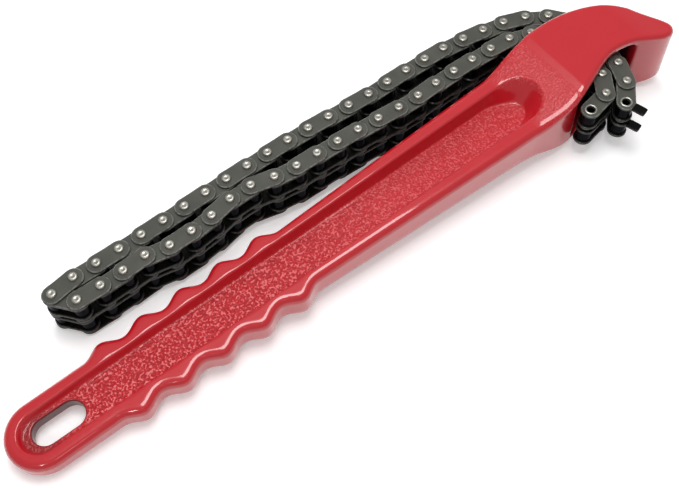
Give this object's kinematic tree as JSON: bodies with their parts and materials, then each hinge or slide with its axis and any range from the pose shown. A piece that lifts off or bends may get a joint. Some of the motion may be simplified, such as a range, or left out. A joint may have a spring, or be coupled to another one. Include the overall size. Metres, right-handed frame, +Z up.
{
  "type": "chain wrench",
  "caption": "Double chain wrench: cast handle with finger grips, pocketed bar and hooked head, and a duplex roller chain threaded through the head window and folded back along the handle.",
  "frame": {"origin": "middle of the hanging slot, on the mid-plane of the casting", "axes": "+X along the handle to the head, +Y towards the convex back of the head and the folded chain, +Z up out of the mid-plane"},
  "size_m": [0.3011, 0.0791, 0.032],
  "materials": {
    "casting": "glossy red enamel on a cast surface",
    "chain": "black oxide, oiled, with bright pin ends"
  },
  "bodies": {
    "handle": {"handle": "casting", "outer_link_04": "chain", "outer_link_56": "chain"},
    "run_05_08": {"inner_link_05": "chain", "outer_link_06": "chain", "inner_link_07": "chain", "outer_link_08": "chain"},
    "run_09_12": {"inner_link_09": "chain", "outer_link_10": "chain", "inner_link_11": "chain", "outer_link_12": "chain"},
    "run_13_16": {"inner_link_13": "chain", "outer_link_14": "chain", "inner_link_15": "chain", "outer_link_16": "chain"},
    "run_17_19": {"inner_link_17": "chain", "outer_link_18": "chain", "inner_link_19": "chain"},
    "run_20_22": {"outer_link_20": "chain", "inner_link_21": "chain", "outer_link_22": "chain"},
    "run_23_24": {"inner_link_23": "chain", "outer_link_24": "chain"},
    "run_25_26": {"inner_link_25": "chain", "outer_link_26": "chain"},
    "run_27_28": {"inner_link_27": "chain", "outer_link_28": "chain"},
    "inner_link_29": {"inner_link_29": "chain"},
    "outer_link_30": {"outer_link_30": "chain"},
    "run_52_55": {"outer_link_52": "chain", "inner_link_53": "chain", "outer_link_54": "chain", "inner_link_55": "chain"},
    "run_48_51": {"outer_link_48": "chain", "inner_link_49": "chain", "outer_link_50": "chain", "inner_link_51": "chain"},
    "run_44_47": {"outer_link_44": "chain", "inner_link_45": "chain", "outer_link_46": "chain", "inner_link_47": "chain"},
    "run_41_43": {"inner_link_41": "chain", "outer_link_42": "chain", "inner_link_43": "chain"},
    "run_38_40": {"outer_link_38": "chain", "inner_link_39": "chain", "outer_link_40": "chain"},
    "run_34_37": {"outer_link_34": "chain", "inner_link_35": "chain", "outer_link_36": "chain", "inner_link_37": "chain"},
    "inner_link_33": {"inner_link_33": "chain"},
    "outer_link_32": {"outer_link_32": "chain"},
    "inner_link_31": {"inner_link_31": "chain"},
    "inner_link_03": {"inner_link_03": "chain"},
    "outer_link_02": {"outer_link_02": "chain"},
    "inner_link_01": {"inner_link_01": "chain"},
    "inner_link_57": {"inner_link_57": "chain"},
    "outer_link_58": {"outer_link_58": "chain"},
    "inner_link_59": {"inner_link_59": "chain"}
  },
  "joints": [
    {"name": "wrap", "type": "hinge", "parent": "handle", "child": "run_05_08", "pos_m": [0.2563, 0.0072, -0.0002], "axis": [-0.0218, 0, -0.9998], "range_deg": [0, 42.06]},
    {"name": "pivot_08", "type": "hinge", "parent": "run_05_08", "child": "run_09_12", "pos_m": [0.231, 0.03266, 0.00035], "axis": [0.0218, 0, 0.9998], "range_deg": [-25.52, 2.8]},
    {"name": "pivot_12", "type": "hinge", "parent": "run_09_12", "child": "run_13_16", "pos_m": [0.19332, 0.0377, 0.00117], "axis": [0.0218, 0, 0.9998], "range_deg": [-15.59, 2.8]},
    {"name": "pivot_16", "type": "hinge", "parent": "run_13_16", "child": "run_17_19", "pos_m": [0.15525, 0.0382, 0.002], "axis": [0.0218, 0, 0.9998], "range_deg": [-12.9, 2.8]},
    {"name": "pivot_19", "type": "hinge", "parent": "run_17_19", "child": "run_20_22", "pos_m": [0.12671, 0.03945, 0.00262], "axis": [0.0218, 0, 0.9998], "range_deg": [-13.29, 2.8]},
    {"name": "pivot_22", "type": "hinge", "parent": "run_20_22", "child": "run_23_24", "pos_m": [0.09814, 0.03925, 0.00325], "axis": [0.0218, 0, 0.9998], "range_deg": [-2.8, 68.25]},
    {"name": "pivot_24", "type": "hinge", "parent": "run_23_24", "child": "run_25_26", "pos_m": [0.0791, 0.03878, 0.00366], "axis": [0.0218, 0, 0.9998], "range_deg": [-2.8, 12.08]},
    {"name": "pivot_26", "type": "hinge", "parent": "run_25_26", "child": "run_27_28", "pos_m": [0.06006, 0.03824, 0.00408], "axis": [0.0218, 0, 0.9998], "range_deg": [-2.8, 11.86]},
    {"name": "pivot_28", "type": "hinge", "parent": "run_27_28", "child": "inner_link_29", "pos_m": [0.04102, 0.0382, 0.00449], "axis": [0.0218, 0, 0.9998], "range_deg": [-2.8, 15.02]},
    {"name": "pivot_29", "type": "hinge", "parent": "inner_link_29", "child": "outer_link_30", "pos_m": [0.0315, 0.03837, 0.0047], "axis": [0.0218, 0, 0.9998], "range_deg": [-5.88, 2.8]},
    {"name": "pivot_55", "type": "hinge", "parent": "handle", "child": "run_52_55", "pos_m": [0.24762, 0.00687, -0.00001], "axis": [0.0218, 0, 0.9998], "range_deg": [-33.51, 2.8]},
    {"name": "pivot_51", "type": "hinge", "parent": "run_52_55", "child": "run_48_51", "pos_m": [0.21759, 0.02535, 0.00064], "axis": [0.0218, 0, 0.9998], "range_deg": [-2.8, 17.11]},
    {"name": "pivot_47", "type": "hinge", "parent": "run_48_51", "child": "run_44_47", "pos_m": [0.17952, 0.0251, 0.00147], "axis": [0.0218, 0, 0.9998], "range_deg": [-40.57, 2.8]},
    {"name": "pivot_43", "type": "hinge", "parent": "run_44_47", "child": "run_41_43", "pos_m": [0.14151, 0.02726, 0.0023], "axis": [0.0218, 0, 0.9998], "range_deg": [-15.23, 2.8]},
    {"name": "pivot_40", "type": "hinge", "parent": "run_41_43", "child": "run_38_40", "pos_m": [0.11303, 0.029, 0.00292], "axis": [0.0218, 0, 0.9998], "range_deg": [-12.8, 2.8]},
    {"name": "pivot_37", "type": "hinge", "parent": "run_38_40", "child": "run_34_37", "pos_m": [0.08492, 0.02932, 0.00354], "axis": [0.0218, 0, 0.9998], "range_deg": [-5.9, 2.8]},
    {"name": "pivot_33", "type": "hinge", "parent": "run_34_37", "child": "inner_link_33", "pos_m": [0.0471, 0.02964, 0.00436], "axis": [0.0218, 0, 0.9998], "range_deg": [-39.53, 2.8]},
    {"name": "pivot_32", "type": "hinge", "parent": "inner_link_33", "child": "outer_link_32", "pos_m": [0.03758, 0.02947, 0.00457], "axis": [0.0218, 0, 0.9998], "range_deg": [-5.06, 2.8]},
    {"name": "pivot_31", "type": "hinge", "parent": "outer_link_32", "child": "inner_link_31", "pos_m": [0.02806, 0.02964, 0.00478], "axis": [0.0218, 0, 0.9998], "range_deg": [-2.8, 32.43]},
    {"name": "ends_swing", "type": "hinge", "parent": "handle", "child": "inner_link_03", "pos_m": [0.2553, -0.00227, -0.00018], "axis": [0.0218, 0, 0.9998], "range_deg": [0, 9]},
    {"name": "pivot_02", "type": "hinge", "parent": "inner_link_03", "child": "outer_link_02", "pos_m": [0.25252, -0.01138, -0.00012], "axis": [0.0218, 0, 0.9998], "range_deg": [-1, 12]},
    {"name": "end_a_swing", "type": "hinge", "parent": "outer_link_02", "child": "inner_link_01", "pos_m": [0.24865, -0.02008, -0.00004], "axis": [0.0218, 0, 0.9998], "range_deg": [0, 60]},
    {"name": "pivot_56", "type": "hinge", "parent": "handle", "child": "inner_link_57", "pos_m": [0.24662, -0.00261, 0.00001], "axis": [0.0218, 0, 0.9998], "range_deg": [-1, 8]},
    {"name": "pivot_57", "type": "hinge", "parent": "inner_link_57", "child": "outer_link_58", "pos_m": [0.24352, -0.01161, 0.00008], "axis": [0.0218, 0, 0.9998], "range_deg": [-1, 10]},
    {"name": "end_b_swing", "type": "hinge", "parent": "outer_link_58", "child": "inner_link_59", "pos_m": [0.23806, -0.01941, 0.0002], "axis": [0.0218, 0, 0.9998], "range_deg": [-2, 20]}
  ],
  "couplings": [
    {"joint": "pivot_08", "follows": "wrap", "ratio": -0.54023},
    {"joint": "pivot_12", "follows": "wrap", "ratio": -0.30412},
    {"joint": "pivot_16", "follows": "wrap", "ratio": -0.24012},
    {"joint": "pivot_19", "follows": "wrap", "ratio": -0.24947},
    {"joint": "pivot_22", "follows": "wrap", "ratio": 1.5561},
    {"joint": "pivot_24", "follows": "wrap", "ratio": 0.22066},
    {"joint": "pivot_26", "follows": "wrap", "ratio": 0.2153},
    {"joint": "pivot_28", "follows": "wrap", "ratio": 0.29044},
    {"joint": "pivot_29", "follows": "wrap", "ratio": -0.073231},
    {"joint": "pivot_55", "follows": "wrap", "ratio": -0.73007},
    {"joint": "pivot_51", "follows": "wrap", "ratio": 0.34033},
    {"joint": "pivot_47", "follows": "wrap", "ratio": -0.89803},
    {"joint": "pivot_43", "follows": "wrap", "ratio": -0.29552},
    {"joint": "pivot_40", "follows": "wrap", "ratio": -0.2378},
    {"joint": "pivot_37", "follows": "wrap", "ratio": -0.073675},
    {"joint": "pivot_33", "follows": "wrap", "ratio": -0.87338},
    {"joint": "pivot_32", "follows": "wrap", "ratio": -0.053789},
    {"joint": "pivot_31", "follows": "wrap", "ratio": 0.70447},
    {"joint": "pivot_02", "follows": "ends_swing", "ratio": 1.2222},
    {"joint": "pivot_56", "follows": "ends_swing", "ratio": 0.77778},
    {"joint": "pivot_57", "follows": "ends_swing", "ratio": 1}
  ]
}
